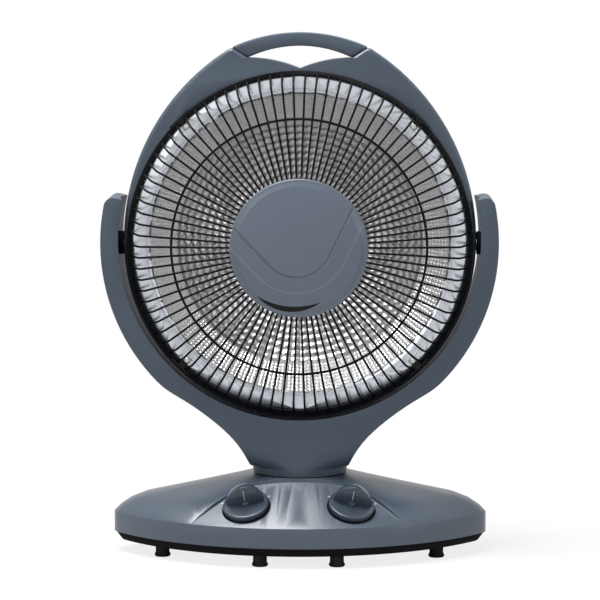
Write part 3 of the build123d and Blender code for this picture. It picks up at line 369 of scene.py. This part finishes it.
knob_places = {"heat": KnobPlace("heat_knob_turn"), "timer": KnobPlace("timer_knob_turn")}


def panel_print():
    """The base's plastic with a ring of pale ticks around the upper side of each knob."""
    finish = Finish("slate base with ticks")
    x, y, z = finish.axes()
    cloud = finish.noise(14.0, 3.0)
    pits = finish.noise(1500.0)
    ticks = None
    for knob in knob_places.values():
        u = (x - knob.centre.x) * knob.across.x + (y - knob.centre.y) * knob.across.y
        u = u + (z - knob.centre.z) * knob.across.z
        v = (x - knob.centre.x) * knob.uphill.x + (y - knob.centre.y) * knob.uphill.y
        v = v + (z - knob.centre.z) * knob.uphill.z
        reach = (u * u + v * v).math("SQRT")
        turn = v.math("ARCTAN2", u)
        band = (reach > 0.0228) * (reach < 0.0252) * (v > 0.004)
        stripe = ((turn * (6.0 / pi)).math("FRACT") - 0.5).magnitude() > 0.452
        ring = band * stripe
        ticks = ring if ticks is None else ticks + ring
    plain = finish.mix(cloud, shade(slate, 0.9), shade(slate, 1.1))
    return finish.surface({
        "Specular IOR Level": 0.6,
        "Base Color": finish.mix(ticks.clamped() * 0.8, plain, (0.6, 0.62, 0.64, 1.0)),
        "Roughness": cloud * 0.12 + 0.25,
        "Normal": finish.bump(pits, 0.00003, 0.7),
    })


moulded_copy("base_cover", "base_moulding", "base", "base_plastic", 0.0011, panel_print(), 30.0)
moulded_copy("base_plate", "base_tray", "base", "black_plastic", 0.0006)
moulded_copy("knob_wells", "knob_recess_rings", "base", "black_plastic", 0.0003)

# Numbers printed in pale ink above each knob: heat steps on the left and minutes on the
# right. Each is a thin raised print that lies on the panel.
ink = moulded_plastic("pale printing ink", (0.55, 0.57, 0.6), 0.6, 0.00001)
for knob, marks in (("heat", "0 1 2 3"), ("timer", "0 30 60 90")):
    for place, mark in enumerate(marks.split()):
        spot = knob_places[knob].point(144.0 - 36.0 * place, 0.0287, 0.00012)
        tilt = knob_places[knob].axis.to_track_quat("Z", "Y").to_euler()
        bpy.ops.object.text_add(location=spot, rotation=tilt)
        number = bpy.context.active_object
        number.name = f"{knob}_number_{mark}"
        number.data.body = mark
        number.data.size = 0.0046
        number.data.extrude = 0.00008
        number.data.align_x = "CENTER"
        number.data.align_y = "CENTER"
        bpy.ops.object.convert(target="MESH")
        bpy.ops.object.transform_apply(location=True, rotation=True, scale=True)
        number.data.materials.clear()
        number.data.materials.append(ink.material)
        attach(number, "base")

# Knobs: a round skirt with a half dome on it, its front cut flat for the thumb. The pale
# pointer line is printed on the middle of the flat.
pointer_size = (0.0013, 0.0104, 0.0003)
pointer_height = 0.0142
for side in ("heat", "timer"):
    moulded_copy(f"{side}_knob", f"{side}_knob_moulding", f"{side}_knob", "knob_plastic", 0.0014)
    place = knob_places[side]
    bpy.ops.mesh.primitive_cube_add(size=1.0)
    pointer = bpy.context.active_object
    pointer.name = f"{side}_pointer_line"
    pointer.scale = pointer_size
    pointer.rotation_euler = place.axis.to_track_quat("Y", "X").to_euler()
    pointer.location = place.centre + place.axis * pointer_height - place.uphill * 0.00005
    bpy.ops.object.transform_apply(location=True, rotation=True, scale=True)
    rounding = pointer.modifiers.new("rounded edges", "BEVEL")
    rounding.width = 0.00012
    bpy.ops.object.modifier_apply(modifier=rounding.name)
    pointer.data.materials.append(ink.material)
    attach(pointer, f"{side}_knob")

# Yoke: two slate mouldings screwed together from behind, with a fine seam round the middle
# of the band and well rounded arm ends.
satin_slate = moulded_plastic("slate yoke moulding", shade(slate, 0.92)[:3], 0.5, shine=0.4)
moulded_copy("yoke_front_shell", "yoke_front_moulding", "yoke", "housing_plastic", 0.0012, satin_slate)
moulded_copy("yoke_rear_shell", "yoke_rear_moulding", "yoke", "housing_plastic", 0.0012, satin_slate)
for side in ("left", "right"):
    moulded_copy(f"tilt_washer_{side}", f"friction_washer_{side}", "yoke", "black_plastic", 0.0005)

# Head: the front moulding with its rounded rim, the vented rear bowl and the arched handle
# between the shoulders, all in the same slate plastic.
moulded_copy("front_housing", "front_bezel", "head", "housing_plastic", 0.0014)
moulded_copy("rear_cover", "rear_bowl", "head", "housing_plastic", 0.0005)
moulded_copy("handle", "carrying_handle", "head", "housing_plastic", 0.0042)


# Reflector, one sheet of bright aluminium: a polished flange, a band of fine dashes, and a
# bowl rolled with small facets that scatter the heat.
dish_height = 0.28


def rolled_aluminium():
    """Aluminium with rings of rolled facets in the bowl and fine dashes near the flange."""
    finish = Finish("rolled bright aluminium")
    x, _, z = finish.axes()
    up = z - dish_height
    reach = (x * x + up * up).math("SQRT")
    turn = up.math("ARCTAN2", x)
    facet_pitch, dash_pitch = 0.0062, 0.0028
    bowl_edge, band_start, band_end, flange_start = 0.108, 0.111, 0.1335, 0.1338
    facets = (turn * 40.0).math("SINE").magnitude() * (reach * (pi / facet_pitch)).math("SINE").magnitude()
    dashes = (turn * 110.0).math("SINE").magnitude() * (reach * (pi / dash_pitch)).math("SINE").magnitude()
    height = facets * (reach < bowl_edge) + dashes * (reach > band_start) * (reach < band_end) * 0.8
    haze = finish.noise(40.0, 4.0)
    dull = finish.mix(haze, (0.6, 0.59, 0.6, 1.0), (0.8, 0.79, 0.8, 1.0))
    polished = ((reach - flange_start) / 0.001).clamped()
    return finish.surface({
        "Base Color": finish.mix(polished, dull, (0.6, 0.63, 0.68, 1.0)),
        "Metallic": 1.0,
        "Roughness": haze * 0.12 + 0.24 - polished * 0.08,
        "Normal": finish.bump(height, 0.0008, 0.9),
    })


moulded_copy("reflector", "reflector_bowl", "head", "bright_aluminium", 0.0004, rolled_aluminium(), 40.0)

# Guard: black enamelled wires welded to an outer band, a middle ring and a hub plate. The
# band is rolled, so its front edges are soft. The wires keep their CAD shape.
moulded_copy("guard_outer_ring", "guard_band", "head", "guard_enamel", 0.0004)
moulded_copy("clip_screws", "tee_clip_screws", "head", "zinc_clip", 0.0003)


def dipped_zinc():
    """Bright zinc on the clip's tongue, and black enamel on the bar that holds the band."""
    finish = Finish("clip dipped in enamel")
    x, _, z = finish.axes()
    up = z - dish_height
    tongue_end = 0.1485
    bare = (x * x + up * up).math("SQRT") < tongue_end
    stains = finish.noise(120.0, 4.0)
    bright = finish.mix(stains, (0.22, 0.22, 0.22, 1.0), (0.4, 0.4, 0.39, 1.0))
    return finish.surface({
        "Base Color": finish.mix(bare, shade(black, 1.0), bright),
        "Metallic": bare,
        "Roughness": stains * 0.16 + 0.28,
        "Specular IOR Level": 0.2,
        "Normal": finish.bump(stains, 0.00003, 0.5),
    })


moulded_copy("guard_clips", "guard_tee_clips", "head", "zinc_clip", 0.00025, dipped_zinc())


# Centre cap, a slate moulding with a plain face: a raised field with a groove along its lower
# sides, a sloping band to a parallel crease, and a crescent slot near the bottom edge. Painted light:
# the slate is lighter than the housing's, the groove and the slot are darkened as painted shade,
# and the crease carries a painted highlight.
def carved_cap():
    """Slate plastic whose relief follows the field's two straight sides and round bottom, with painted
    shade in the groove and slot and a painted highlight on the crease.
    """
    finish = Finish("slate cap with relief")
    x, _, z = finish.axes()
    up = z - dish_height
    corner_x, corner_up, corner_round = -0.0022, 0.0067, 0.0322

    def from_arc(centre_x, centre_up, radius):
        """Distance outward from an arc on the cap's face."""
        along = x - centre_x
        above = up - centre_up
        return (along * along + above * above).math("SQRT") - radius

    left = x * -0.72 - up * 0.69 - 0.0292
    right = x * 0.9 - up * 0.437 - 0.02725
    right_of_left = (x - corner_x) * 0.69 > (up - corner_up) * 0.72
    left_of_right = (x - corner_x) * -0.437 > (up - corner_up) * 0.9
    below = right_of_left * left_of_right
    sides = left.math("MAXIMUM", right)
    groove = from_arc(corner_x, corner_up, corner_round) * below + sides * (1.0 - below)
    band_width = 0.0142
    crease = groove - band_width
    hollow = (1.0 - groove.magnitude() / 0.0011).clamped()
    slope = (groove / band_width).clamped()
    ledge = (1.0 - crease.magnitude() / 0.0008).clamped()
    beyond = (crease / 0.014).clamped()
    rim = (from_arc(0.0, 0.0, 0.0545) / 0.0045).clamped()
    # The crescent slot is not cut into the cap; its black is painted shade, and it is made rougher.
    slot = (from_arc(-0.0033, 0.0133, 0.0648) > 0.0) * (from_arc(-0.006, -0.0151, 0.0411) < 0.0)
    height = 1.0 - hollow * 0.16 - slope * 0.25 - beyond * 0.45 - rim * 0.6
    cloud = finish.noise(14.0, 3.0)
    # Painted light: the cap's slate is nearly twice as light as the housing's, for the light its dome
    # catches.
    plain = finish.mix(cloud, (0.084, 0.102, 0.13, 1.0), (0.1, 0.122, 0.155, 1.0))
    # Painted shade: the groove is darkened towards a deep slate.
    groove_painted_shade = finish.mix(hollow * 0.6, plain, shade(slate, 0.4))
    # Painted highlight: a light line along the crease.
    crease_painted_highlight = finish.mix(ledge * 0.45, groove_painted_shade, shade(slate, 4.0))
    return finish.surface({
        "Base Color": finish.mix(slot, crease_painted_highlight, shade(black, 1.0)),
        "Roughness": cloud * 0.12 + 0.24 + slot * 0.6,
        "Specular IOR Level": 0.3,
        "Normal": finish.bump(height, 0.003, 1.0),
    })


moulded_copy("centre_cap", "cap_moulding", "head", "housing_plastic", 0.0005, carved_cap(), 30.0)

bpy.ops.object.select_all(action="DESELECT")
